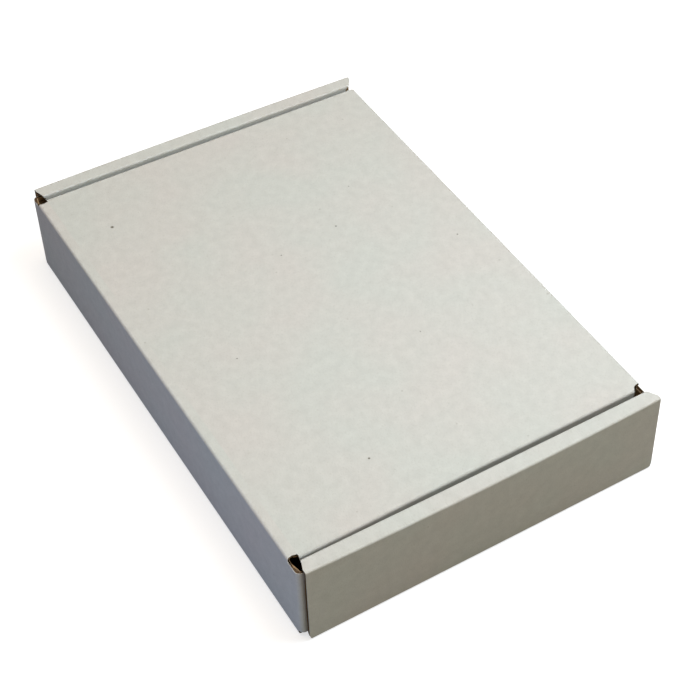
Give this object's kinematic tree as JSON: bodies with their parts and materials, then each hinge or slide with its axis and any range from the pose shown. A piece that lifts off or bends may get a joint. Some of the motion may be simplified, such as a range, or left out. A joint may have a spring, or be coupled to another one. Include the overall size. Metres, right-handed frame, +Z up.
{
  "type": "corrugated mailer box",
  "caption": "Shallow roll-end mailer box folded from thin white-faced corrugated board, with a hinged tuck-front lid, shown closed.",
  "frame": {"origin": "centre of the base's underside, at the middle of the box's footprint", "axes": "+X along the long side, +Z up, -Y towards the tuck front and +Y towards the lid's hinge crease"},
  "size_m": [0.24, 0.156, 0.04],
  "materials": {
    "corrugated_board": "matt white paper liner outside, brown kraft inside and on the raw edges"
  },
  "bodies": {
    "tray": {"tray": "corrugated_board"},
    "lid": {"lid": "corrugated_board"}
  },
  "joints": [
    {"name": "lid_hinge", "type": "hinge", "parent": "tray", "child": "lid", "pos_m": [0, 0.07741, 0.03841], "axis": [-1, 0, 0], "range_deg": [0, 180]}
  ]
}
